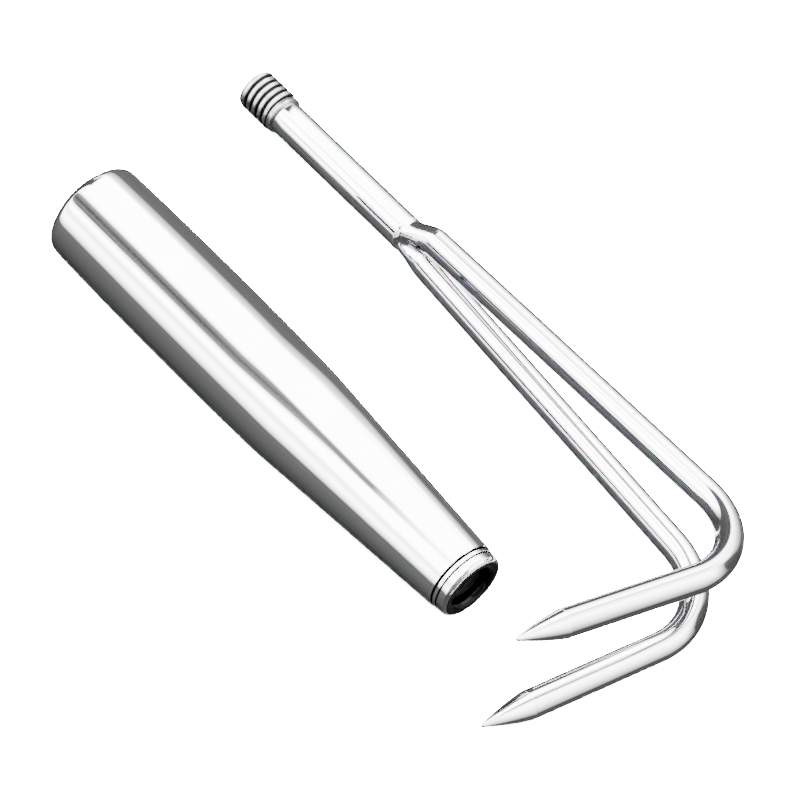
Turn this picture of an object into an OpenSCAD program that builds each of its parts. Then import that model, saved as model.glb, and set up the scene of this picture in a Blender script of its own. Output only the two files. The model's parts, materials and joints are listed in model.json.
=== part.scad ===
// Two-tine roasting fork with a screw-on hollow handle, taken apart and laid on a flat surface.
// The handle lies along X with its mouth to +X. The fork lies on its side beside it:
// threaded stud at -X, tines running to +X and bending back toward the handle (-Y).

/* [Handle] */
// Length of the handle from the end cap to the mouth
handle_len = 155; // [130:1:180]
// Largest diameter of the handle, in its rear half
handle_d = 30.2; // [27:0.1:34]
// Diameter of the handle where the nose ring sits
nose_d = 20.4; // [19.5:0.1:23]
// Distance from the end cap to the start of the taper
taper_start = 86; // [70:1:100]
// Sheet thickness of the handle shell
shell_wall = 1.2; // [0.8:0.1:2]
// Radius of the end cap
cap_r = 12; // [10:0.1:13]
// How far the end cap stands out of the shell
cap_proud = 1.3; // [0.6:0.1:2.5]

/* [Nose] */
// Width of the dark groove between shell and nose ring
groove_rear = 0.5; // [0.3:0.05:0.8]
// Width of the nose ring
ring_w = 1.0; // [0.8:0.1:1.5]
// Width of the groove between nose ring and nose bush
groove_front = 0.35; // [0.3:0.05:0.6]
// Length of the nose in front of the front groove
nose_len = 3; // [2.5:0.1:4]
// Diameter of the mouth where the stud enters
mouth_d = 12.6; // [12.4:0.1:13]
// Running clearance between the nose ring and the spigot inside it, on radius
ring_clear = 0.06; // [0.04:0.01:0.1]

/* [Thread] */
// Outside diameter of the threaded stud
stud_d = 12; // [11:0.1:12.2]
// Pitch of the thread
pitch = 2.2; // [2:0.1:2.4]
// Number of thread crests on the stud
crests = 5; // [4:1:6]
// Depth of the thread
thread_depth = 0.75; // [0.5:0.05:0.9]
// Width of the flat on each crest
crest_flat = 0.8; // [0.6:0.05:1]
// Plain neck between the thread and the shank
neck_len = 1.6; // [1:0.1:2.5]

/* [Fork] */
// Diameter of the shank
shank_d = 10; // [9:0.1:11]
// Distance from the stud end to the end of the shank
shank_end = 63; // [50:1:66]
// Diameter of each tine
tine_d = 8; // [7:0.1:8.6]
// Distance from the stud end to the start of the straight tines
tine_start = 74; // [69:0.5:76]
// Distance between the two tines, middle to middle, where they start
tine_gap = 9.4; // [8.4:0.1:12]
// Length of the lower tine from its start to the corner
leg_lower = 134.5; // [115:0.1:150]
// Length of the upper tine from its start to the corner
leg_upper = 139.8; // [115:0.1:150]
// Angle between the two tines, seen from the side
tine_spread = 8.1; // [4:0.1:10]
// Angle that the lower tine is bent through
bend_lower = 91; // [85:0.5:110]
// Angle that the upper tine is bent through
bend_upper = 92.9; // [85:0.1:110]
// Radius of the bend, to the middle of the rod
bend_r = 26; // [16:0.5:32]
// Angle that the upper prong leans away from the lower one
prong_lean = 4.5; // [0:0.1:6]
// Length from the corner to the point
prong_len = 86; // [70:0.5:100]
// Length of the cone at the point
tip_len = 15.5; // [10:0.5:20]
// Radius of the blunt end of the point
tip_blunt = 0.6; // [0.3:0.1:1.2]

/* [Layout] */
// Distance along X from the end cap to the end of the stud
fork_dx = -14.4; // [-20:0.1:0]
// Distance along Y from the handle line to the end of the stud
fork_dy = 77.6; // [65:0.1:90]
// Angle between the shank and the handle, seen from above
shank_yaw = -1.25; // [-5:0.05:3]
// Angle that the shank rises by, from the stud to the tines
shank_rise = 1.75; // [0:0.05:3]
// Angle between the lower tine and the handle, seen from above
lower_yaw = -5; // [-8:0.1:3]
// Angle between the upper tine and the handle, seen from above
upper_yaw = -5.4; // [-8:0.1:3]

/* [Hidden] */
$fn = 96;

handle_r = handle_d / 2;
nose_r = nose_d / 2;
stud_r = stud_d / 2;
shank_r = shank_d / 2;
tine_r = tine_d / 2;
mouth_r = mouth_d / 2;

// stations along the handle, from the end cap
x_bush = handle_len - nose_len;
x_ring1 = x_bush - groove_front;
x_ring0 = x_ring1 - ring_w;
x_shell = x_ring0 - groove_rear;
taper_end = x_shell + 3;
spigot_r = 8.4;
spigot_len = 9;
insert_r = 7.4;
insert_len = 14;
thread_len = crests * pitch;
stud_len = thread_len + neck_len;
insert_major = stud_r + 0.1;
insert_minor = stud_r - thread_depth + 0.15;
counterbore = 2;

// where the fork starts and where its tines start, from the end cap's place on the surface
fork_z = stud_r * cos(shank_rise) + 0.05;
shank_dir = [cos(shank_rise) * cos(shank_yaw), cos(shank_rise) * sin(shank_yaw), sin(shank_rise)];
fork_start = [fork_dx, fork_dy, fork_z];
tines_at = fork_start + tine_start * shank_dir;
lower_at = [tines_at[0], tines_at[1] + 0.35, tine_r];
upper_at = [tines_at[0], tines_at[1] + 0.6, tine_r + tine_gap];

// the upper prong's direction, seen from the upper leg: how far the rod turns, and the
// twist of the bend about the leg
up_x = cos(prong_lean) * cos(bend_upper) * cos(tine_spread) + sin(prong_lean) * sin(tine_spread);
up_y = -cos(prong_lean) * sin(bend_upper);
up_z = sin(prong_lean) * cos(tine_spread) - cos(prong_lean) * cos(bend_upper) * sin(tine_spread);
turn_upper = acos(up_x);
twist_upper = atan2(-up_z, -up_y);

// puts the middle of the whole layout over the origin, with the resting surface at Z = 0
shift = [-91.542, -31.136, 0];

// outer radius of the handle shell at a station: slight barrel, then a straight taper
taper_slope = (handle_r - 0.5 - nose_r) / (taper_end - taper_start);
function soft(d, w) = d < -w ? 0 : d > w ? d : (d + w) * (d + w) / (4 * w);
function barrel(x) = handle_r - 0.55 * pow((x - 46) / 46, 2) * (x < 92 ? 1 : 0)
                     - (x < 92 ? 0 : 0.55);
function shell_r(x) = barrel(min(x, 92)) - taper_slope * soft(x - taper_start - 1, 6);

module along_x() { rotate([0, 90, 0]) children(); }

module handle_place() { translate(shift) translate([0, 0, handle_r]) children(); }

module fork_place() {
    translate(shift) translate(fork_start)
        rotate([0, 0, shank_yaw]) rotate([0, -shank_rise, 0]) children();
}

// X runs along the lower tine, which lies level on the surface with its bend and prong
module lower_place() { translate(shift) translate(lower_at) rotate([0, 0, lower_yaw]) children(); }

// X runs along the upper tine, and its bend lies in the XY plane
module upper_place() {
    translate(shift) translate(upper_at) rotate([0, 0, upper_yaw])
        rotate([0, -tine_spread, 0]) rotate([twist_upper, 0, 0]) children();
}

// ring-shaped or round piece from a list of [x, r] points round the X axis
module lathe(points) {
    rotate([0, 90, 0]) rotate_extrude()
        polygon([for (p = points) [p[1], p[0]]]);
}

shoulder = 3;
outer_line = concat(
    [for (a = [0 : 15 : 75])
        [cap_proud + shoulder * (1 - cos(a)),
         cap_r + (shell_r(shoulder) - cap_r) * sin(a)]],
    [for (i = [0 : 34]) let (x = cap_proud + shoulder + i * (x_shell - cap_proud - shoulder) / 34)
        [x, shell_r(x)]]);

module handle_shell() {
    color("silver") handle_place() difference() {
        lathe(concat(outer_line, [[x_shell, 0], [cap_proud, 0]]));
        // hollow inside, following the outside
        lathe(concat([[cap_proud + shoulder + 1.2, 0]],
            [for (i = [0 : 20]) let (x = cap_proud + shoulder + 1.2 + i * (x_shell - 9 - cap_proud - shoulder - 1.2) / 20)
                [x, shell_r(x) - shell_wall]],
            [[x_shell - 9, 0]]));
        // seat of the end cap
        translate([-1, 0, 0]) along_x() cylinder(r = cap_r, h = cap_proud + shoulder + 4.2);
        // seat of the nose bush
        translate([x_shell - 12, 0, 0]) along_x() cylinder(r = spigot_r, h = 20);
    }
}

module end_cap() {
    color("gainsboro") handle_place()
        lathe(concat(
            [for (a = [0 : 15 : 90]) [cap_proud * (1 - sin(a)), cap_r - 2.2 + 2.2 * cos(a)]],
            [[0.05, cap_r * 0.5], [0, 0], [cap_proud + shoulder + 2, 0], [cap_proud + shoulder + 2, cap_r - 1.2],
             [cap_proud + 1.4, cap_r - 1.2], [cap_proud + 1.4, cap_r]]));
}

module nose_ring() {
    color("gainsboro") handle_place() translate([x_ring0, 0, 0]) along_x() difference() {
        cylinder(r = nose_r - 0.1, h = ring_w);
        translate([0, 0, -1]) cylinder(r = spigot_r + ring_clear, h = ring_w + 2);
    }
}

module nose_bush() {
    lip = 1.5;
    color("silver") handle_place() difference() {
        union() {
            lathe(concat(
                [[x_bush, 0], [x_bush, nose_r - 0.25]],
                [for (a = [0 : 10 : 90])
                    [handle_len - lip + lip * sin(a), nose_r - 0.25 - lip * 0.85 * (1 - cos(a))]],
                [[handle_len, mouth_r + 1.3], [handle_len - 0.25, mouth_r + 0.7], [handle_len - 1.2, mouth_r],
                 [handle_len - 1.2, 0]]));
            translate([x_shell - spigot_len, 0, 0]) along_x()
                cylinder(r = spigot_r, h = spigot_len + nose_len + ring_w + groove_rear + groove_front - 1.3);
        }
        // plain mouth, then the seat of the thread insert
        translate([handle_len - counterbore - 1.2, 0, 0]) along_x() cylinder(r = mouth_r, h = 10);
        translate([x_shell - spigot_len - 1, 0, 0]) along_x()
            cylinder(r = insert_r, h = handle_len - counterbore - 1.2 - x_shell + spigot_len + 1);
    }
}

module thread_insert() {
    x0 = handle_len - counterbore - 1.2 - insert_len;
    color("dimgray") handle_place() difference() {
        translate([x0, 0, 0]) along_x() cylinder(r = insert_r, h = insert_len);
        translate([x0 - 1, 0, 0]) along_x() cylinder(r = insert_minor, h = insert_len + 2);
        for (i = [0 : floor(insert_len / pitch) - 1])
            translate([x0 + insert_len - 0.6 - i * pitch, 0, 0]) rotate([0, -90, 0]) rotate_extrude()
                polygon([[0, 0], [insert_minor, 0], [insert_major, 0.5], [insert_major, pitch - 1.3],
                         [insert_minor, pitch - 0.8], [0, pitch - 0.8]]);
    }
}

// the screwed end of the fork: level crests round a thinner core, and a plain neck
module thread_stud() {
    core = stud_r - thread_depth;
    flank = (pitch - crest_flat) * 0.36;
    color("silver") fork_place() union() {
        for (i = [0 : crests - 1]) translate([i * pitch, 0, 0]) lathe([
            [i == 0 ? 0 : 0, 0], [0, i == 0 ? stud_r - 0.55 : stud_r],
            [i == 0 ? 0.5 : 0, stud_r],
            [crest_flat, stud_r], [crest_flat + flank, core], [pitch - flank, core], [pitch, stud_r],
            [pitch, 0]]);
        translate([thread_len, 0, 0]) along_x() cylinder(r = stud_r - 0.35, h = neck_len);
    }
}

module shank() {
    color("silver") fork_place() translate([stud_len, 0, 0]) along_x()
        cylinder(r = shank_r, h = shank_end - stud_len);
}

bend_draw = 0.03;

// rod bent in the XY plane: starts at the origin along +X and turns toward -Y
module rod_arc(r, radius, angle) {
    translate([0, -radius, 0]) rotate([0, 0, 90 - angle]) rotate_extrude(angle = angle)
        translate([radius, 0]) circle(r = r);
}

// straight leg, bend and straight prong of one tine, in the tine's frame; the bend is drawn
// a hair thinner than the rod (bend_draw) and the straights run a little way over it
function tangent(turn) = bend_r * tan(turn / 2);
function straight(turn) = prong_len - tangent(turn) - tip_len;

module tine_rod(leg, turn) {
    lap = 0.5;
    leg_len = leg - tangent(turn);
    along_x() cylinder(r = tine_r, h = leg_len + lap);
    translate([leg_len, 0, 0]) {
        rod_arc(tine_r - bend_draw, bend_r, turn);
        translate([0, -bend_r, 0]) rotate([0, 0, -turn]) translate([-lap, bend_r, 0])
            along_x() cylinder(r = tine_r, h = straight(turn) + lap);
    }
}

module tine_tip(leg, turn) {
    translate([leg - tangent(turn), -bend_r, 0]) rotate([0, 0, -turn])
        translate([straight(turn), bend_r, 0])
            lathe([[0, 0], [0, tine_r], [0.6, tine_r - 0.1], [tip_len - 1, tip_blunt + 0.35],
                   [tip_len - 0.3, tip_blunt], [tip_len, tip_blunt * 0.4], [tip_len, 0]]);
}

module tine_lower() { color("silver") lower_place() tine_rod(leg_lower, bend_lower); }
module tine_upper() { color("silver") upper_place() tine_rod(leg_upper, turn_upper); }
module tip_lower() { color("gainsboro") lower_place() tine_tip(leg_lower, bend_lower); }
module tip_upper() { color("gainsboro") upper_place() tine_tip(leg_upper, turn_upper); }

// rod of radius r from one point to another
module rod_between(a, b, r) {
    d = b - a;
    translate(a) rotate([0, 0, atan2(d[1], d[0])]) rotate([0, -atan2(d[2], norm([d[0], d[1]])), 0])
        along_x() cylinder(r = r, h = norm(d));
}

// two short stubs that step out from the shank to the starts of the tines
module fork_root() {
    inside = fork_start + (shank_end - 5) * shank_dir;
    color("silver") difference() {
        union() {
            fork_place() translate([shank_end, 0, 0]) sphere(r = shank_r);
            translate(shift) {
                rod_between(inside - [0, 0, 0.5], lower_at, tine_r - 0.05);
                translate(lower_at) sphere(r = tine_r - 0.02);
                rod_between(inside + [0, 0, 0.5], upper_at, tine_r - 0.05);
                translate(upper_at) sphere(r = tine_r - 0.02);
            }
        }
        // flat ends against the shank and the two tines
        fork_place() translate([shank_end - 20, 0, 0]) along_x() cylinder(r = 9, h = 20);
        lower_place() along_x() cylinder(r = tine_r + 0.4, h = 9);
        upper_place() along_x() cylinder(r = tine_r + 0.4, h = 9);
    }
}

handle_shell();
end_cap();
nose_ring();
nose_bush();
thread_insert();
thread_stud();
shank();
fork_root();
tine_upper();
tine_lower();
tip_upper();
tip_lower();
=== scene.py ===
# Looks of the two-part roasting fork: polished steel handle and two-tine fork on a pale floor.
import json
import math
import bmesh
import bpy
import numpy as np
from mathutils import Matrix, Vector, noise

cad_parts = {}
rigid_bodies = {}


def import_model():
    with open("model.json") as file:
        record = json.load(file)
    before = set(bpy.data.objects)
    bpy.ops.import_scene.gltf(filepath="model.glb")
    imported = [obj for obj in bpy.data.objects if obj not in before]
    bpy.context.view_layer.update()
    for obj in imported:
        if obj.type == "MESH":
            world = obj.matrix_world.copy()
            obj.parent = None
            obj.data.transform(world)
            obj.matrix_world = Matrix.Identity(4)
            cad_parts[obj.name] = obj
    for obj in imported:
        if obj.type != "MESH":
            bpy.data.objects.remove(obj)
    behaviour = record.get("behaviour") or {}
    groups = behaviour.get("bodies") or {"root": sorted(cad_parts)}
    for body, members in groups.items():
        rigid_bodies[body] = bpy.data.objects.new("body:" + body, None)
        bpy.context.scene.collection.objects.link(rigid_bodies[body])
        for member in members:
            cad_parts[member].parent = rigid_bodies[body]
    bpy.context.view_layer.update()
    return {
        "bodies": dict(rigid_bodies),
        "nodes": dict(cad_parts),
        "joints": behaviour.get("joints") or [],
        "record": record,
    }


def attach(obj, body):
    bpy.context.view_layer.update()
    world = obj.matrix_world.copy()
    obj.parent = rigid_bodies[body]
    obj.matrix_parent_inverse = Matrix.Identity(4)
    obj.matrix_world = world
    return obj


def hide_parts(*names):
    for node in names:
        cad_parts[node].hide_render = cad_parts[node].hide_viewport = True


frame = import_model()

MM = 0.001
RAD = math.pi / 180

# ---------------------------------------------------------------- dimensions, as in the CAD part
SHIFT = np.array([-91.542, -31.136, 0.0])
HANDLE_LEN, HANDLE_R, NOSE_R = 155.0, 15.1, 10.2
TAPER_START, CAP_R, CAP_PROUD, SHOULDER = 86.0, 12.0, 1.3, 3.0
GROOVE_REAR, RING_W, GROOVE_FRONT, NOSE_LEN = 0.5, 1.0, 0.35, 3.0
MOUTH_R, SPIGOT_R, INSERT_R = 6.3, 8.4, 7.4
COUNTERBORE, INSERT_LEN = 3.2, 14.0
STUD_R, PITCH, CRESTS, DEPTH, CREST_FLAT, NECK = 6.0, 2.2, 5, 0.75, 0.8, 1.6
SHANK_R, SHANK_END, TINE_R, TINE_START, TINE_GAP = 5.0, 63.0, 4.0, 74.0, 9.4
SPREAD, BEND_R, LEAN, PRONG, TIP_LEN, TIP_BLUNT = 8.1 * RAD, 26.0, 4.5 * RAD, 86.0, 15.5, 0.6
FORK_DX, FORK_DY, SHANK_YAW, SHANK_RISE = -14.4, 77.6, -1.25 * RAD, 1.75 * RAD

X_BUSH = HANDLE_LEN - NOSE_LEN
X_RING1 = X_BUSH - GROOVE_FRONT
X_RING0 = X_RING1 - RING_W
X_SHELL = X_RING0 - GROOVE_REAR
TAPER_END = X_SHELL + 3
THREAD_LEN = CRESTS * PITCH
STUD_LEN = THREAD_LEN + NECK


def rot(axis, a):
    c, s = math.cos(a), math.sin(a)
    return np.array({"x": [[1, 0, 0], [0, c, -s], [0, s, c]],
                     "y": [[c, 0, s], [0, 1, 0], [-s, 0, c]],
                     "z": [[c, -s, 0], [s, c, 0], [0, 0, 1]]}[axis], float)


def heading(yaw, rise):
    return np.array([math.cos(rise) * math.cos(yaw), math.cos(rise) * math.sin(yaw), math.sin(rise)])


FORK_M = rot("z", SHANK_YAW) @ rot("y", -SHANK_RISE)
FORK_O = SHIFT + np.array([FORK_DX, FORK_DY, STUD_R * math.cos(SHANK_RISE) + 0.05])
TINES_AT = FORK_O + TINE_START * FORK_M[:, 0]


class Tine:
    """One bent rod: start point, frame with X along the leg, angle of the bend and lengths."""

    def __init__(self, start, yaw, rise, bend, prong_rise, leg):
        along, prong = heading(yaw, rise), heading(yaw - bend, prong_rise)
        self.turn = math.acos(along @ prong)
        side = along * math.cos(self.turn) - prong
        side /= np.linalg.norm(side)
        self.frame = np.stack([along, side, np.cross(along, side)], axis=1)
        self.start = start
        tangent = BEND_R * math.tan(self.turn / 2)
        self.leg = leg - tangent
        self.straight = PRONG - tangent - TIP_LEN

    def place(self, p):
        return np.asarray(p, float) @ self.frame.T + self.start


LOWER = Tine(np.array([TINES_AT[0], TINES_AT[1] + 0.35, TINE_R]), -5 * RAD, 0.0, 91 * RAD, 0.0, 134.5)
UPPER = Tine(np.array([TINES_AT[0], TINES_AT[1] + 0.6, TINE_R + TINE_GAP]), -5.4 * RAD, SPREAD, 92.9 * RAD,
             LEAN, 139.8)


def from_fork(p):
    return np.asarray(p, float) @ FORK_M.T + FORK_O


def to_fork(p):
    return (np.asarray(p, float) - FORK_O) @ FORK_M


def from_handle(p):
    return np.asarray(p, float) + SHIFT + np.array([0, 0, HANDLE_R])


def soft(d, w):
    return 0.0 if d < -w else d if d > w else (d + w) ** 2 / (4 * w)


TAPER = (HANDLE_R - 0.5 - NOSE_R) / (TAPER_END - TAPER_START)


def shell_r(x):
    q = min(x, 92.0)
    base = HANDLE_R - (0.55 * ((q - 46) / 46) ** 2 if q < 92 else 0.55)
    return base - TAPER * soft(x - TAPER_START - 1, 6.0)


# ---------------------------------------------------------------- mesh helpers
def mesh_object(name, verts, faces, flip=False):
    me = bpy.data.meshes.new(name)
    if flip:
        faces = [tuple(reversed(f)) for f in faces]
    me.from_pydata([tuple(v) for v in np.asarray(verts) * MM], [], faces)
    me.update()
    me.polygons.foreach_set("use_smooth", [True] * len(me.polygons))
    ob = bpy.data.objects.new(name, me)
    bpy.context.scene.collection.objects.link(ob)
    return ob


def lathe(name, profile, place, seg=160, sharp=35.0):
    """Surface of revolution about +X through a closed list of (x, r)."""
    n = len(profile)
    verts, faces = [], []
    for j in range(seg):
        a = 2 * math.pi * j / seg
        for x, r in profile:
            verts.append((x, r * math.cos(a), r * math.sin(a)))
    for j in range(seg):
        k = (j + 1) % seg
        for i in range(n):
            m = (i + 1) % n
            if profile[i][1] < 1e-6 and profile[m][1] < 1e-6:
                continue
            faces.append((j * n + i, j * n + m, k * n + m, k * n + i))
    ob = mesh_object(name, place(np.array(verts)), faces)
    tidy(ob, sharp)
    return ob


def tidy(ob, sharp=35.0):
    bm = bmesh.new()
    bm.from_mesh(ob.data)
    bmesh.ops.remove_doubles(bm, verts=bm.verts, dist=2e-6)
    bmesh.ops.dissolve_degenerate(bm, dist=1e-6, edges=bm.edges)
    bmesh.ops.recalc_face_normals(bm, faces=bm.faces)
    lim = sharp * RAD
    for e in bm.edges:
        if len(e.link_faces) == 2:
            e.smooth = e.calc_face_angle(0.0) < lim
    for f in bm.faces:
        f.smooth = True
    bm.to_mesh(ob.data)
    bm.free()
    ob.data.update()


def rounded(points, radius=0.15, steps=4):
    """Rounds each corner of a closed profile a little, as a turned part has."""
    out, n = [], len(points)
    for i in range(n):
        p, a, b = (np.array(points[i], float), np.array(points[i - 1], float),
                   np.array(points[(i + 1) % n], float))
        la, lb = np.linalg.norm(a - p), np.linalg.norm(b - p)
        if points[i][1] < 1e-6 or la < 1e-6 or lb < 1e-6:
            out.append(tuple(p))
            continue
        ua, ub = (a - p) / la, (b - p) / lb
        if abs(np.dot(ua, ub) + 1) < 0.01:
            out.append(tuple(p))
            continue
        d = min(radius, la * 0.45, lb * 0.45)
        s, e = p + ua * d, p + ub * d
        for t in np.linspace(0, 1, steps + 1):
            out.append(tuple((1 - t) ** 2 * s + 2 * t * (1 - t) * p + t * t * e))
    return out


# ---------------------------------------------------------------- steel
def steel(name, tone, rough, axis="X", line=0.02, grain=0.0, spots=0.06, scale=1.0, dark=0.0, painted_shade_bands=None,
          bump_at=0.05, frame=None):
    """Polished steel: draw lines along one axis, faint blotches in the gloss and pin-point wear.
    bore = list of (x from mm, x to mm, radius mm, tone): painted shade, the base colour darkened to that tone
    inside that radius of frame's axis."""
    mat = bpy.data.materials.new(name)
    mat.use_nodes = True
    nt = mat.node_tree
    nt.nodes.clear()
    N, L = nt.nodes.new, nt.links.new
    out = N("ShaderNodeOutputMaterial")
    b = N("ShaderNodeBsdfPrincipled")
    b.inputs["Metallic"].default_value = 1.0
    b.inputs["Anisotropic"].default_value = 0.0
    L(b.outputs[0], out.inputs[0])
    tc = N("ShaderNodeTexCoord")
    stretch = N("ShaderNodeMapping")
    s = [1400.0 * scale] * 3
    s["XYZ".index(axis)] = 18.0 * scale
    stretch.inputs["Scale"].default_value = s
    L(tc.outputs["Object"], stretch.inputs[0])
    fine = N("ShaderNodeTexNoise")
    fine.inputs["Scale"].default_value = 1.0
    fine.inputs["Detail"].default_value = 3.0
    L(stretch.outputs[0], fine.inputs["Vector"])
    blot = N("ShaderNodeTexNoise")
    blot.inputs["Scale"].default_value = 60.0 * scale
    blot.inputs["Detail"].default_value = 4.0
    L(tc.outputs["Object"], blot.inputs["Vector"])
    # colour: base tone with a faint cloudy change
    ramp = N("ShaderNodeValToRGB")
    lo, hi = ramp.color_ramp.elements
    lo.position, hi.position = 0.3, 0.7
    lo.color = (tone * (0.95 - dark), tone * (0.95 - dark), tone * (0.955 - dark), 1)
    hi.color = (tone, tone, tone, 1)
    L(blot.outputs["Fac"], ramp.inputs[0])
    colour = ramp.outputs[0]
    # painted shade: inside each listed radius the base colour is mixed to a dark tone, standing in for the shade in
    # a hole, in the narrow grooves and in thread roots
    if painted_shade_bands:
        turn, origin = frame or (np.eye(3), SHIFT + np.array([0, 0, HANDLE_R]))
        own = N("ShaderNodeMapping")
        own.inputs["Rotation"].default_value = Matrix(turn.T.tolist()).to_euler("XYZ")
        own.inputs["Location"].default_value = (-turn.T @ origin * MM).tolist()
        L(tc.outputs["Object"], own.inputs[0])
        sp = N("ShaderNodeSeparateXYZ")
        L(own.outputs[0], sp.inputs[0])

        def calc(op, p, q=0.0, clamp=False):
            n = N("ShaderNodeMath")
            n.operation = op
            n.use_clamp = clamp
            for i, v in enumerate((p, q)):
                if isinstance(v, (int, float)):
                    n.inputs[i].default_value = v
                else:
                    L(v, n.inputs[i])
            return n.outputs[0]
        dy, dz = sp.outputs["Y"], sp.outputs["Z"]
        rad = calc("SQRT", calc("ADD", calc("MULTIPLY", dy, dy), calc("MULTIPLY", dz, dz)))
        for x0, x1, r0, t0 in painted_shade_bands:
            inside = calc("DIVIDE", calc("SUBTRACT", r0 * MM, rad), 0.00008, True)
            after = calc("GREATER_THAN", sp.outputs["X"], x0 * MM)
            before = calc("LESS_THAN", sp.outputs["X"], x1 * MM)
            painted_shade_mask = calc("MULTIPLY", calc("MULTIPLY", inside, after), before)
            mx = N("ShaderNodeMix")
            mx.data_type = "RGBA"
            L(painted_shade_mask, mx.inputs["Factor"])
            L(colour, mx.inputs["A"])
            mx.inputs["B"].default_value = (t0, t0, t0, 1)
            colour = mx.outputs["Result"]
    L(colour, b.inputs["Base Color"])
    # roughness: base value plus fine lines and blotches
    m1 = N("ShaderNodeMapRange")
    m1.inputs["From Min"].default_value, m1.inputs["From Max"].default_value = 0.35, 0.65
    m1.inputs["To Min"].default_value = rough * (1 - line * 8)
    m1.inputs["To Max"].default_value = rough * (1 + line * 8)
    L(fine.outputs["Fac"], m1.inputs["Value"])
    m2 = N("ShaderNodeMath")
    m2.operation = "MULTIPLY_ADD"
    m2.inputs[1].default_value = spots
    L(blot.outputs["Fac"], m2.inputs[0])
    L(m1.outputs[0], m2.inputs[2])
    L(m2.outputs[0], b.inputs["Roughness"])
    # bump: very shallow draw lines, and turned grain where asked
    bump = N("ShaderNodeBump")
    bump.inputs["Strength"].default_value = bump_at + grain
    bump.inputs["Distance"].default_value = 0.00001
    L(fine.outputs["Fac"], bump.inputs["Height"])
    L(bump.outputs[0], b.inputs["Normal"])
    return mat


def hole_shade_black(name, tone, rough, scale=900.0):
    """Painted shade deep in a hole: a near-black base colour with almost no gloss, a little uneven, in place of the
    darkness inside the tapped hole.
    """
    mat = bpy.data.materials.new(name)
    mat.use_nodes = True
    nt = mat.node_tree
    b = nt.nodes["Principled BSDF"]
    b.inputs["Specular IOR Level"].default_value = 0.01
    b.inputs["Roughness"].default_value = rough
    tc = nt.nodes.new("ShaderNodeTexCoord")
    no = nt.nodes.new("ShaderNodeTexNoise")
    no.inputs["Scale"].default_value = scale
    no.inputs["Detail"].default_value = 3.0
    nt.links.new(tc.outputs["Object"], no.inputs["Vector"])
    ramp = nt.nodes.new("ShaderNodeValToRGB")
    lo, hi = ramp.color_ramp.elements
    lo.position, hi.position = 0.35, 0.65
    lo.color = (tone * 0.7, tone * 0.7, tone * 0.7, 1)
    hi.color = (tone * 1.3, tone * 1.3, tone * 1.3, 1)
    nt.links.new(no.outputs["Fac"], ramp.inputs[0])
    nt.links.new(ramp.outputs[0], b.inputs["Base Color"])
    return mat


# painted shade: the bore bands below darken the base colour on the groove faces between shell, ring and bush, on
# the mouth face (dark grey) and down the bore (near black)
M_HANDLE = steel("handle_polish", 0.98, 0.035, spots=0.02, painted_shade_bands=[(100.0, 156.0, 10.12, 0.012)])
M_CAP = steel("cap_polish", 0.97, 0.05, spots=0.02)
M_RING = steel("ring_polish", 0.98, 0.05, spots=0.02, painted_shade_bands=[(140.0, 156.0, 9.93, 0.012)])
M_BUSH = steel("bush_turned", 0.90, 0.08, grain=0.15, spots=0.04,
               painted_shade_bands=[(120.0, X_BUSH + 0.1, 9.75, 0.012), (X_BUSH + 0.1, 156.0, 8.95, 0.07),
                     (X_BUSH + 0.1, 156.0, 7.3, 0.010)])
# painted shade: the insert is near black, standing in for the darkness inside the tapped hole
M_INSERT = hole_shade_black("insert_tapped", 0.0004, 0.7)
# painted shade: the bore bands darken the thread flanks below 5.86 mm radius to grey and the roots below 5.62 mm to
# near black
M_THREAD = steel("thread_cut", 0.60, 0.26, grain=0.4, spots=0.05, scale=7.0, dark=0.55,
                 frame=(FORK_M, FORK_O), painted_shade_bands=[(0.35, 11.2, 5.86, 0.09), (0.35, 11.2, 5.62, 0.012)])
M_ROD = steel("rod_polish", 0.98, 0.035, spots=0.02)
M_ROOT = steel("root_polish", 0.96, 0.09, spots=0.04)
M_TIP = steel("tip_ground", 1.0, 0.07, axis="Y", grain=0.1, spots=0.03)


def finish_piece(ob, mat, body, node):
    ob.data.materials.clear()
    ob.data.materials.append(mat)
    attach(ob, body)
    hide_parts(node)


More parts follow.
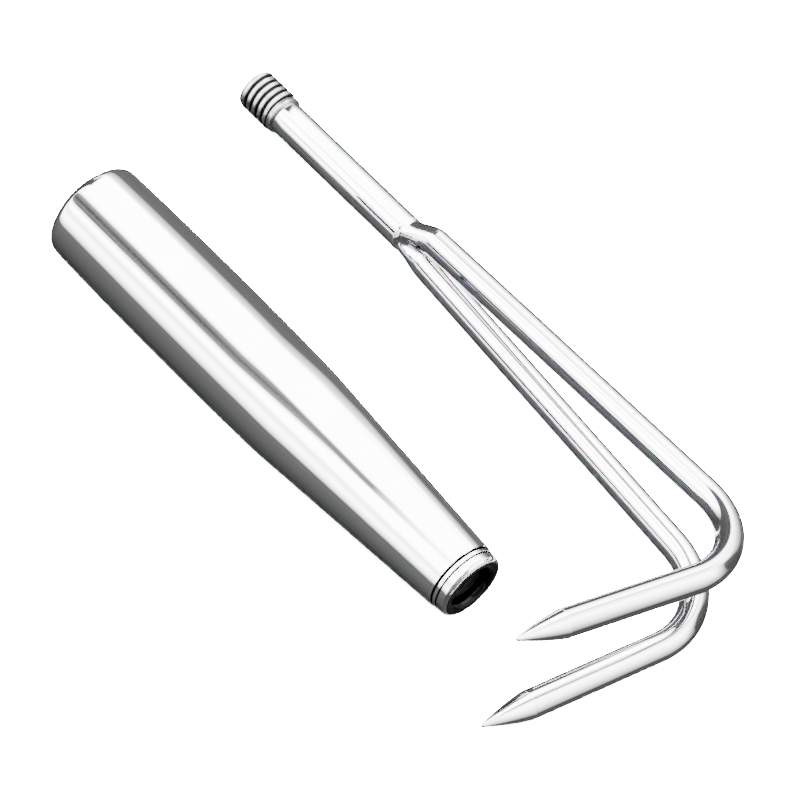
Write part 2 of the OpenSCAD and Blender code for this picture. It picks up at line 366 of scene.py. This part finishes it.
# ---------------------------------------------------------------- handle
def handle_parts():
    arc = [(CAP_PROUD + SHOULDER * (1 - math.cos(a)),
            CAP_R + (shell_r(SHOULDER) - CAP_R) * math.sin(a)) for a in np.linspace(0, 75 * RAD, 14)]
    x0 = CAP_PROUD + SHOULDER
    # ease the shoulder arc into the long outline so that the reflection runs on without a break
    outline = [(x, shell_r(x)) for x in np.linspace(x0, X_SHELL - 0.12, 150)]
    blendx = x0 + 6.0
    top = arc[-1]
    curve = []
    for x, r in outline:
        if x < blendx:
            t = (x - top[0]) / (blendx - top[0])
            e = 1 - (1 - t) ** 3
            r = min(r, top[1] + (shell_r(blendx) - top[1]) * e)
        curve.append((x, r))
    inner = [(X_SHELL, curve[-1][1] - 0.14), (X_SHELL, SPIGOT_R), (X_SHELL - 12, SPIGOT_R)]
    inner += [(x, shell_r(x) - 1.2) for x in np.linspace(X_SHELL - 13, x0 + 3.4, 30)]
    inner += [(x0 + 3.4, CAP_R), (CAP_PROUD + 0.05, CAP_R)]
    ob = lathe("handle_shell_smooth", arc + curve + inner, from_handle, seg=224, sharp=40)
    finish_piece(ob, M_HANDLE, "handle", "handle_shell")

    # end cap: rounded edge, very shallow dome, a fine turned ring in its face
    edge = [(CAP_PROUD * (1 - math.sin(a)) + 0.25 * (1 - math.sin(a)), CAP_R - 0.04 - 2.4 + 2.4 * math.cos(a))
            for a in np.linspace(0, 88 * RAD, 16)]
    dome = [(0.05 * (r / 9.6) ** 2, r) for r in np.linspace(9.4, 0.0, 18)]
    cap = edge + dome + [(CAP_PROUD + 5, 0), (CAP_PROUD + 5, CAP_R - 1.2), (CAP_PROUD + 1.4, CAP_R - 1.2),
                         (CAP_PROUD + 1.4, CAP_R - 0.04)]
    ob = lathe("end_cap_domed", cap, from_handle, seg=192)
    finish_piece(ob, M_CAP, "handle", "end_cap")

    r = NOSE_R - 0.1
    ob = lathe("nose_ring_band", rounded([(X_RING0, r), (X_RING1, r), (X_RING1, SPIGOT_R + 0.06),
                                          (X_RING0, SPIGOT_R + 0.06)], 0.14), from_handle, seg=192)
    finish_piece(ob, M_RING, "nose", "nose_ring")

    lip = 1.5
    rim = [(HANDLE_LEN - lip + lip * math.sin(a), NOSE_R - 0.25 - lip * 0.85 * (1 - math.cos(a)))
           for a in np.linspace(0, 90 * RAD, 14)]
    face = [(HANDLE_LEN - 0.02, MOUTH_R + 1.5), (HANDLE_LEN - 0.2, MOUTH_R + 0.85),
            (HANDLE_LEN - 0.62, MOUTH_R + 0.3), (HANDLE_LEN - 1.2, MOUTH_R), (HANDLE_LEN - COUNTERBORE, MOUTH_R),
            (HANDLE_LEN - COUNTERBORE, INSERT_R)]
    back = [(X_SHELL - 9, INSERT_R), (X_SHELL - 9, SPIGOT_R), (X_BUSH, SPIGOT_R), (X_BUSH, NOSE_R - 0.4),
            (X_BUSH + 0.12, NOSE_R - 0.26)]
    ob = lathe("nose_bush_turned", rim + face + back, from_handle, seg=192)
    finish_piece(ob, M_BUSH, "handle", "nose_bush")


def helix_surface(length, pitch, radius_at, seg, rows_per_pitch, limit):
    """Grid whose rows follow the helix: radius_at(phase) is the thread form, limit(x, r) trims the ends."""
    rows = int(math.ceil((length + pitch) / pitch * rows_per_pitch))
    verts, faces = [], []
    for j in range(seg + 1):
        a = 2 * math.pi * j / seg
        for i in range(rows + 1):
            u = -pitch + i * pitch / rows_per_pitch
            x = min(max(u + pitch * j / seg, 0.0), length)
            r = limit(x, radius_at((i / rows_per_pitch) % 1.0))
            verts.append((x, r * math.cos(a), r * math.sin(a)))
    n = rows + 1
    for j in range(seg):
        for i in range(rows):
            faces.append((j * n + i, j * n + i + 1, (j + 1) * n + i + 1, (j + 1) * n + i))
    return verts, faces


def thread_form(phase, low, high, flat, flank):
    """Flat crest, round-bottomed groove."""
    if phase < flat:
        return high
    t = (phase - flat) / (1 - flat)
    s = min(1.0, min(t, 1 - t) / flank)
    return high - (high - low) * (s * s * (3 - 2 * s))


def insert_part():
    x0 = HANDLE_LEN - COUNTERBORE - INSERT_LEN
    form = lambda p: thread_form(p, STUD_R - 0.6, STUD_R + 0.1, 0.30, 0.34)
    seg = 128
    v, f = helix_surface(INSERT_LEN, PITCH, form, seg, 16, lambda x, r: r + 0.5 * soft(x - 13.2, 0.3))
    verts = [(x0 + (INSERT_LEN - x), y, z) for x, y, z in v]
    n0 = len(verts)
    wall = [(x0, STUD_R - 0.6), (x0, INSERT_R - 0.02), (x0 + INSERT_LEN, INSERT_R - 0.02),
            (x0 + INSERT_LEN, STUD_R - 0.6)]
    for j in range(seg):
        a = 2 * math.pi * j / seg
        for x, r in wall:
            verts.append((x, r * math.cos(a), r * math.sin(a)))
    for j in range(seg):
        k = (j + 1) % seg
        for i in range(3):
            f.append((n0 + j * 4 + i, n0 + j * 4 + i + 1, n0 + k * 4 + i + 1, n0 + k * 4 + i))
    ob = mesh_object("thread_insert_helix", from_handle(np.array(verts)), f)
    tidy(ob, 50)
    finish_piece(ob, M_INSERT, "handle", "thread_insert")


# ---------------------------------------------------------------- fork
def stud_part():
    low = STUD_R - DEPTH
    form = lambda p: thread_form(p, low, STUD_R, CREST_FLAT / PITCH, 0.42)

    def limit(x, r):
        start = STUD_R - 0.55 + 0.55 * min(1.0, x / 0.55) ** 0.6
        end = STUD_R - 0.35 + (0.35 if x < THREAD_LEN - 0.3 else max(0.0, 0.35 * (THREAD_LEN - x) / 0.3))
        return min(r, start, end)
    v, f = helix_surface(THREAD_LEN, PITCH, form, 144, 18, limit)
    seg = 144
    ends = [(0.0, 0.0), (0.0, STUD_R - 0.6)]
    neck_r = STUD_R - 0.35
    neck = [(THREAD_LEN - 0.5, low), (THREAD_LEN - 0.02, low), (THREAD_LEN, neck_r - 0.12),
            (THREAD_LEN + 0.12, neck_r), (STUD_LEN - 0.14, neck_r), (STUD_LEN - 0.03, neck_r - 0.14),
            (STUD_LEN, SHANK_R - 0.15), (STUD_LEN, 0.0)]
    for prof in (ends, neck):
        base = len(v)
        for j in range(seg):
            a = 2 * math.pi * j / seg
            for x, r in prof:
                v.append((x, r * math.cos(a), r * math.sin(a)))
        m = len(prof)
        for j in range(seg):
            k = (j + 1) % seg
            for i in range(m - 1):
                f.append((base + j * m + i, base + j * m + i + 1, base + k * m + i + 1, base + k * m + i))
    ob = mesh_object("thread_stud_helix", from_fork(np.array(v)), f)
    tidy(ob, 50)
    finish_piece(ob, M_THREAD, "fork", "thread_stud")


def shank_part():
    r = SHANK_R
    prof = [(STUD_LEN + 0.02, 0), (STUD_LEN + 0.02, r - 0.35), (STUD_LEN + 0.12, r - 0.1), (STUD_LEN + 0.3, r)]
    prof += [(x, r) for x in np.linspace(STUD_LEN + 4, SHANK_END, 12)] + [(SHANK_END, 0)]
    ob = lathe("shank_bar", prof, from_fork, seg=128)
    finish_piece(ob, M_ROD, "fork", "shank")


def tine_part(tine, name):
    seg, rows = 96, []
    for u in np.linspace(0, tine.leg, 40):
        rows.append(((u, 0.0), 0.0))
    for a in np.linspace(0, tine.turn, 72)[1:]:
        rows.append(((tine.leg + BEND_R * math.sin(a), -BEND_R + BEND_R * math.cos(a)), a))
    end = rows[-1][0]
    for u in np.linspace(0, tine.straight, 24)[1:]:
        rows.append(((end[0] + u * math.cos(tine.turn), end[1] - u * math.sin(tine.turn)), tine.turn))
    verts, faces = [], []
    for (x, y), a in rows:
        for j in range(seg):
            t = 2 * math.pi * j / seg
            # a bent rod flattens a little through the bend: under a tenth of a millimetre
            rr = TINE_R * (1 - 0.012 * math.sin(min(max(a / tine.turn, 0), 1) * math.pi) * abs(math.cos(t)))
            verts.append((x + rr * math.cos(t) * math.sin(a), y + rr * math.cos(t) * math.cos(a), rr * math.sin(t)))
    n = len(rows)
    for i in range(n - 1):
        for j in range(seg):
            k = (j + 1) % seg
            faces.append((i * seg + j, i * seg + k, (i + 1) * seg + k, (i + 1) * seg + j))
    faces.append(tuple(range(seg)))
    faces.append(tuple(reversed(range((n - 1) * seg, n * seg))))
    ob = mesh_object(name + "_rod", tine.place(np.array(verts)), faces)
    tidy(ob, 40)
    finish_piece(ob, M_ROD, "fork", name)


def tip_part(tine, name):
    prof = [(0, 0), (0, TINE_R - 0.12), (0.1, TINE_R - 0.02), (0.35, TINE_R - 0.03)]
    for t in np.linspace(0.06, 1, 24):
        x = t * (TIP_LEN - 0.55)
        bulge = 0.35 * math.sin(math.pi * t) * (1 - t * 0.5)
        prof.append((x, TINE_R + (TIP_BLUNT - TINE_R) * t + bulge))
    prof += [(TIP_LEN - 0.3, TIP_BLUNT * 0.86), (TIP_LEN - 0.1, TIP_BLUNT * 0.55), (TIP_LEN, 0.0)]
    ct, st = math.cos(tine.turn), math.sin(tine.turn)
    d, e = np.array([ct, -st, 0.0]), np.array([-st, -ct, 0.0])
    o = np.array([tine.leg + BEND_R * st, -BEND_R + BEND_R * ct, 0.0]) + d * tine.straight

    def place(p):
        p = np.asarray(p)
        return tine.place(o + p[:, :1] * d + p[:, 1:2] * e + p[:, 2:3] * np.array([0, 0, 1.0]))
    ob = lathe(name + "_cone", prof, place, seg=112, sharp=28)
    finish_piece(ob, M_TIP, "fork", name)


# root: smooth union of the shank end and two S-shaped rods, found as the zero of a distance field
def root_path(tine, side):
    """Centre line in the fork's frame, from past the start of the tine back into the shank."""
    start, along = to_fork(tine.start), tine.frame[:, 0] @ FORK_M
    pts = [start + along * 7, start + along * 3.5, start]
    foot = np.array([SHANK_END + 1.5, 0.0, side * 1.3])
    for t in np.linspace(0, 1, 14)[1:]:
        h1, h2 = start - along * 8.0 * t, foot + np.array([8.0 * (1 - t), 0, 0])
        e = t * t * (3 - 2 * t)
        pts.append(h1 * (1 - e) + h2 * e)
    pts.append(foot - np.array([5.0, 0, 0]))
    return np.array(pts)


def seg_dist(p, a, b):
    ab = b - a
    t = np.clip(((p - a) @ ab) / (ab @ ab), 0, 1)
    return np.linalg.norm(p - a - t[:, None] * ab, axis=1)


def smin(a, b, k):
    h = np.maximum(k - np.abs(a - b), 0) / k
    return np.minimum(a, b) - h * h * k * 0.25


PATHS = {-1: root_path(LOWER, -1), 1: root_path(UPPER, 1)}


def root_field(p):
    rod = {}
    for side in (-1, 1):
        path = PATHS[side]
        d = np.full(len(p), 1e9)
        for a, b in zip(path[:-1], path[1:]):
            d = np.minimum(d, seg_dist(p, a, b))
        rod[side] = d - TINE_R
    # the shank's rounded end
    ex, er = p[:, 0] - 64.6 + 0.9, np.hypot(p[:, 1], p[:, 2]) - SHANK_R + 0.9
    shank = np.hypot(np.maximum(ex, 0), np.maximum(er, 0)) + np.minimum(np.maximum(ex, er), 0) - 0.9
    d = smin(shank, smin(rod[1], rod[-1], 0.6), 0.8)
    # short pressed slit across the end of the shank, on the open side of the fork
    slit = seg_dist(p, SLIT[0], SLIT[1]) - 0.30
    d = -smin(-d, slit, 0.15)
    # hollow pressed between the two rods
    hollow = (np.linalg.norm((p - HOLLOW) / np.array([3.6, 2.4, 2.0]), axis=1) - 1) * 2.0
    d = -smin(-d, hollow, 1.4)
    return d


SLIT = (np.array([64.2, -4.85, 1.4]), np.array([63.7, -3.2, 4.0]))
HOLLOW = np.array([69.3, -4.4, 0.6])


DRAW_STEPS = 14


def root_part():
    verts, faces = [], []
    # coarse cage: swept tubes, fused by a voxel remesh and then drawn onto the field
    for side in (-1, 1):
        seg = 32
        base = len(verts)
        path = PATHS[side]
        for i in range(len(path)):
            t = path[min(i + 1, len(path) - 1)] - path[max(i - 1, 0)]
            t /= np.linalg.norm(t)
            e = np.cross(t, [0, 1.0, 0])
            e /= np.linalg.norm(e)
            f = np.cross(t, e)
            for j in range(seg):
                c, s_ = math.cos(2 * math.pi * j / seg), math.sin(2 * math.pi * j / seg)
                verts.append(tuple(path[i] + (e * c + f * s_) * TINE_R))
        n = len(path)
        for i in range(n - 1):
            for j in range(seg):
                k = (j + 1) % seg
                faces.append((base + i * seg + j, base + i * seg + k,
                              base + (i + 1) * seg + k, base + (i + 1) * seg + j))
        faces.append(tuple(base + j for j in reversed(range(seg))))
        faces.append(tuple(base + (n - 1) * seg + j for j in range(seg)))
    seg = 48
    base = len(verts)
    for x in (56.0, 62.0, 64.0, 64.5):
        r = SHANK_R if x < 63 else SHANK_R * (0.95 if x < 64.2 else 0.8)
        for j in range(seg):
            verts.append((x, r * math.cos(2 * math.pi * j / seg), r * math.sin(2 * math.pi * j / seg)))
    for i in range(3):
        for j in range(seg):
            k = (j + 1) % seg
            faces.append((base + i * seg + j, base + (i + 1) * seg + j,
                          base + (i + 1) * seg + k, base + i * seg + k))
    faces.append(tuple(base + j for j in range(seg)))
    faces.append(tuple(base + 3 * seg + j for j in reversed(range(seg))))
    ob = mesh_object("fork_root_pressed", verts, faces)
    tidy(ob, 180)
    mod = ob.modifiers.new("fuse", "REMESH")
    mod.mode = "VOXEL"
    mod.voxel_size = 0.00026
    dg = bpy.context.evaluated_depsgraph_get()
    me = bpy.data.meshes.new_from_object(ob.evaluated_get(dg))
    ob.modifiers.clear()
    p = np.empty(len(me.vertices) * 3)
    me.vertices.foreach_get("co", p)
    p = p.reshape(-1, 3) / MM
    h = 0.01
    for _ in range(DRAW_STEPS):
        d = root_field(p)
        g = np.stack([(root_field(p + np.eye(3)[i] * h) - root_field(p - np.eye(3)[i] * h)) / (2 * h)
                      for i in range(3)], axis=1)
        gl = np.maximum(np.linalg.norm(g, axis=1), 0.3)
        step = np.clip(d, -0.4, 0.4) / gl ** 2
        p = p - g * step[:, None] * 0.85
    # uneven pressed metal: shallow dents where the rods meet, none at the ends
    fade = np.exp(-((p[:, 0] - 68.5) / 3.0) ** 2)
    amp = np.array([noise.noise(Vector((v[0] * 0.8, v[1] * 0.8 + 4, v[2] * 0.8))) for v in p]) * 0.07
    lower = np.where(p[:, 2] < 0, 1.5, 0.5)
    p = p - g / np.maximum(np.linalg.norm(g, axis=1), 1e-6)[:, None] * (amp * fade * lower)[:, None]
    me.vertices.foreach_set("co", (p * MM).ravel())
    me.update()
    bm = bmesh.new()
    bm.from_mesh(me)
    cuts = [(np.array([SHANK_END, 0, 0]), np.array([1.0, 0, 0]), 0)]
    cuts += [(to_fork(t.start), -(t.frame[:, 0] @ FORK_M), side) for t, side in ((LOWER, -1), (UPPER, 1))]
    middle = (to_fork(LOWER.start) + to_fork(UPPER.start))[2] / 2
    for co, no, side in cuts:
        geom = bm.verts[:] + bm.edges[:] + bm.faces[:]
        if side:
            keep = {v for v in bm.verts if v.co.x > (TINE_START - 1.5) * MM
                    and (v.co.z / MM - middle - (v.co.x / MM - TINE_START) * 0.035) * side > 0}
            geom = list(keep) + [e for e in bm.edges if all(v in keep for v in e.verts)] + \
                [q for q in bm.faces if all(v in keep for v in q.verts)]
        res = bmesh.ops.bisect_plane(bm, geom=geom, dist=1e-7, plane_co=Vector(co.tolist()) * MM,
                                     plane_no=Vector(no.tolist()), clear_inner=True)
        edges = [e for e in res["geom_cut"] if isinstance(e, bmesh.types.BMEdge) and e.is_boundary]
        if edges:
            bmesh.ops.holes_fill(bm, edges=edges, sides=0)
    bmesh.ops.recalc_face_normals(bm, faces=bm.faces)
    for q in bm.faces:
        q.smooth = True
    for e in bm.edges:
        if len(e.link_faces) == 2:
            e.smooth = e.calc_face_angle(0.0) < 50 * RAD
    bm.to_mesh(me)
    bm.free()
    co = np.empty(len(me.vertices) * 3)
    me.vertices.foreach_get("co", co)
    co = from_fork(co.reshape(-1, 3) / MM) * MM
    me.vertices.foreach_set("co", co.ravel())
    me.update()
    old = ob.data
    ob.data = me
    bpy.data.meshes.remove(old)
    finish_piece(ob, M_ROOT, "fork", "fork_root")


handle_parts()
insert_part()
stud_part()
shank_part()
root_part()
tine_part(UPPER, "tine_upper")
tine_part(LOWER, "tine_lower")
tip_part(UPPER, "tip_upper")
tip_part(LOWER, "tip_lower")

# ---------------------------------------------------------------- floor
me = bpy.data.meshes.new("floor")
F = 3.0
me.from_pydata([(-F, -F, 0), (F, -F, 0), (F, F, 0), (-F, F, 0)], [], [(0, 1, 2, 3)])
floor = bpy.data.objects.new("floor", me)
bpy.context.scene.collection.objects.link(floor)
mf = bpy.data.materials.new("floor_white")
mf.use_nodes = True
pf = mf.node_tree.nodes["Principled BSDF"]
pf.inputs["Base Color"].default_value = (0.93, 0.93, 0.93, 1)
pf.inputs["Roughness"].default_value = 0.9
me.materials.append(mf)
floor.visible_glossy = False

# ---------------------------------------------------------------- light
world = bpy.data.worlds.new("studio")
bpy.context.scene.world = world
world.use_nodes = True
wt = world.node_tree
wt.nodes.clear()
N, L = wt.nodes.new, wt.links.new
wo = N("ShaderNodeOutputWorld")
bg = N("ShaderNodeBackground")
L(bg.outputs[0], wo.inputs[0])
tc = N("ShaderNodeTexCoord")
sep = N("ShaderNodeSeparateXYZ")
L(tc.outputs["Generated"], sep.inputs[0])


def calc(op, p, q=0.0, clamp=False):
    n = N("ShaderNodeMath")
    n.operation = op
    n.use_clamp = clamp
    for i, v in enumerate((p, q)):
        if isinstance(v, (int, float)):
            n.inputs[i].default_value = v
        else:
            L(v, n.inputs[i])
    return n.outputs[0]


def ring_ramp(up, along, pairs):
    """Brightness by angle in one upright plane: 0 degrees along the first axis, 90 degrees overhead."""
    turn = calc("ARCTAN2", up, along)
    place = calc("ADD", calc("DIVIDE", turn, 2 * math.pi), 0.5)
    ramp = N("ShaderNodeValToRGB")
    stops(ramp, pairs)
    L(place, ramp.inputs[0])
    return ramp.outputs[0]


def stops(ramp, pairs):
    els = ramp.color_ramp.elements
    while len(els) > 1:
        els.remove(els[-1])
    for i, (deg, v) in enumerate(pairs):
        pos = (deg + 180) / 360
        e = els[0] if i == 0 else els.new(pos)
        e.position = pos
        e.color = (v, v, v, 1)


WHITE = 14.0
# studio seen across the handle: bright wall behind, dark floor, white ceiling with one thin seam
SIDE = [(-180, 10.0), (-160, 0.2), (-90, 0.05), (0, 0.2), (20, 2.0), (50, WHITE), (112, WHITE), (117, 1.0),
        (122, WHITE), (155, WHITE), (165, 5.0), (179.9, 10.0)]
# studio seen along the prongs: dark room under a soft bright patch overhead
FRONT = [(-180, 0.1), (-30, 0.1), (0, 2.0), (60, 10.0), (100, 3.0), (120, 0.2), (179.9, 0.1)]
dx, dy, dz = sep.outputs["X"], sep.outputs["Y"], sep.outputs["Z"]
side = ring_ramp(dz, dy, [(d, v / WHITE) for d, v in SIDE])
front = ring_ramp(dz, dx, [(d, v / WHITE) for d, v in FRONT])
# the room darkens toward its two ends
end_a = calc("DIVIDE", calc("SUBTRACT", 0.22, dx), 0.20, True)
end_b = calc("DIVIDE", calc("ADD", dx, 1.0), 0.10, True)
ends = calc("MAXIMUM", calc("MULTIPLY", end_a, end_b), 0.03)
dim = N("ShaderNodeMix")
dim.data_type = "RGBA"
dim.blend_type = "MULTIPLY"
dim.inputs["Factor"].default_value = 1.0
L(side, dim.inputs["A"])
L(ends, dim.inputs["B"])
# toward +Y the front scheme takes over, away from the plane that the long rods see
off_x = calc("DIVIDE", calc("SUBTRACT", calc("ABSOLUTE", calc("ADD", dx, 0.40)), 0.16), 0.10, True)
near_y = calc("MULTIPLY", calc("DIVIDE", calc("ADD", dy, 0.10), 0.12, True),
              calc("DIVIDE", calc("SUBTRACT", 0.86, dy), 0.14, True))
mixer = N("ShaderNodeMix")
mixer.data_type = "RGBA"
L(calc("MULTIPLY", off_x, near_y), mixer.inputs["Factor"])
haze = calc("MULTIPLY", calc("SUBTRACT", 1.0, ends), 0.10 / WHITE)
lifted = N("ShaderNodeMix")
lifted.data_type = "RGBA"
lifted.blend_type = "ADD"
lifted.inputs["Factor"].default_value = 1.0
L(dim.outputs["Result"], lifted.inputs["A"])
L(haze, lifted.inputs["B"])
L(lifted.outputs["Result"], mixer.inputs["A"])
L(front, mixer.inputs["B"])
L(mixer.outputs["Result"], bg.inputs["Color"])
bg.inputs["Strength"].default_value = WHITE


def area(name, loc, size, power):
    d = bpy.data.lights.new(name, "AREA")
    d.shape = "SQUARE"
    d.size = size
    d.energy = power
    ob = bpy.data.objects.new(name, d)
    ob.location = loc
    ob.rotation_euler = (-Vector(loc)).to_track_quat("-Z", "Y").to_euler()
    bpy.context.scene.collection.objects.link(ob)
    ob.visible_glossy = False
    ob.visible_camera = False


area("overhead", (0.0, 0.0, 1.5), 3.2, 9000.0)


def card(name, rows, tones, fade=None):
    """Studio card seen only in reflections and only from its front. rows = (place along, edge a, edge b) in mm;
    tones = brightness from edge a to edge b; fade = share of plain white along the card."""
    m = bpy.data.meshes.new(name)
    pts = [tuple(Vector(c) * MM) for _, a, b in rows for c in (a, b)]
    m.from_pydata(pts, [], [(2 * i, 2 * i + 2, 2 * i + 3, 2 * i + 1) for i in range(len(rows) - 1)])
    uv = m.uv_layers.new(name="card")
    for poly in m.polygons:
        for li in poly.loop_indices:
            vi = m.loops[li].vertex_index
            uv.data[li].uv = (vi % 2, rows[vi // 2][0])
    ob = bpy.data.objects.new(name, m)
    bpy.context.scene.collection.objects.link(ob)
    mt = bpy.data.materials.new(name)
    mt.use_nodes = True
    t = mt.node_tree
    t.nodes.clear()
    new, link = t.nodes.new, t.links.new
    o = new("ShaderNodeOutputMaterial")
    e = new("ShaderNodeEmission")
    e.inputs["Strength"].default_value = WHITE
    co = new("ShaderNodeTexCoord")
    sp = new("ShaderNodeSeparateXYZ")
    link(co.outputs["UV"], sp.inputs[0])
    ramp = new("ShaderNodeValToRGB")
    fill(ramp, tones)
    link(sp.outputs["X"], ramp.inputs[0])
    colour = ramp.outputs[0]
    if fade:
        along = new("ShaderNodeValToRGB")
        fill(along, [(p, v * WHITE) for p, v in fade])
        link(sp.outputs["Y"], along.inputs[0])
        mx = new("ShaderNodeMix")
        mx.data_type = "RGBA"
        link(along.outputs[0], mx.inputs["Factor"])
        link(colour, mx.inputs["A"])
        mx.inputs["B"].default_value = (1, 1, 1, 1)
        colour = mx.outputs["Result"]
    link(colour, e.inputs["Color"])
    ge = new("ShaderNodeNewGeometry")
    clear = new("ShaderNodeBsdfTransparent")
    both = new("ShaderNodeMixShader")
    link(ge.outputs["Backfacing"], both.inputs[0])
    link(e.outputs[0], both.inputs[1])
    link(clear.outputs[0], both.inputs[2])
    link(both.outputs[0], o.inputs[0])
    m.materials.append(mt)
    ob.visible_camera = False
    ob.visible_diffuse = False
    ob.visible_shadow = False
    ob.visible_transmission = False


def fill(ramp, pairs):
    els = ramp.color_ramp.elements
    while len(els) > 1:
        els.remove(els[-1])
    for i, (pos, v) in enumerate(pairs):
        e = els[0] if i == 0 else els.new(pos)
        e.position = pos
        e.color = (v / WHITE, v / WHITE, v / WHITE, 1)


# soft-edged flag close above the handle, on its far side, narrowing toward the mouth
hy, hz = SHIFT[1], HANDLE_R
ca, sa = math.cos(133 * RAD), math.sin(133 * RAD)
across = np.array([0.0, -sa, ca])


def strip_row(x, a, b):
    c = np.array([x, hy + ca * 34, hz + sa * 34])
    return ((x + 165) / 235, c + across * a, c + across * b)


STRIP_ROWS = [(-165, -10.0, 10.0), (-30, -10.0, 8.0), (20, -10.0, 0.5), (70, -10.0, -5.0)]
card("flag_strip", [strip_row(*v) for v in STRIP_ROWS],
     [(0, WHITE), (0.25, 0.5), (0.5, 0.1), (0.75, 0.5), (1, WHITE)],
     fade=[(0, 0), (0.5, 0), (0.8, 0.02), (1, 1)])

# grey flag standing between the handle and the fork, seen from the handle only
fy = hy + 25
card("flag_wall", [((x + 165) / 223, (x, fy, 0), (x, fy, 60 * k)) for x, k in
                   [(-165, 1.0), (-30, 1.0), (20, 0.75), (58, 0.75)]],
     [(0, 0.1), (0.65, 0.2), (0.85, 3.0), (1, WHITE)])

# ---------------------------------------------------------------- camera
AZ, EL, ROLL, DIST = 32.839 * RAD, 46.045 * RAD, 19.664 * RAD, 1.75
SENSOR, FRAME_PX, PX_PER_MM = 36, 800, 3.759
back = Vector((math.sin(AZ) * math.cos(EL), -math.cos(AZ) * math.cos(EL), math.sin(EL)))
right = Vector((math.cos(AZ), math.sin(AZ), 0))
up = back.cross(right)
r2 = right * math.cos(ROLL) + up * math.sin(ROLL)
u2 = up * math.cos(ROLL) - right * math.sin(ROLL)
target = Vector((SHIFT[0] + 88.921, SHIFT[1] + 39.902, 0)) * MM
cam_d = bpy.data.cameras.new("camera")
cam_d.sensor_width = SENSOR
cam_d.lens = PX_PER_MM * DIST / MM * SENSOR / FRAME_PX
cam_d.clip_start, cam_d.clip_end = 0.05, 20
cam = bpy.data.objects.new("camera", cam_d)
bpy.context.scene.collection.objects.link(cam)
m = Matrix((r2, u2, back)).transposed().to_4x4()
m.translation = target + back * DIST
cam.matrix_world = m
bpy.context.scene.camera = cam
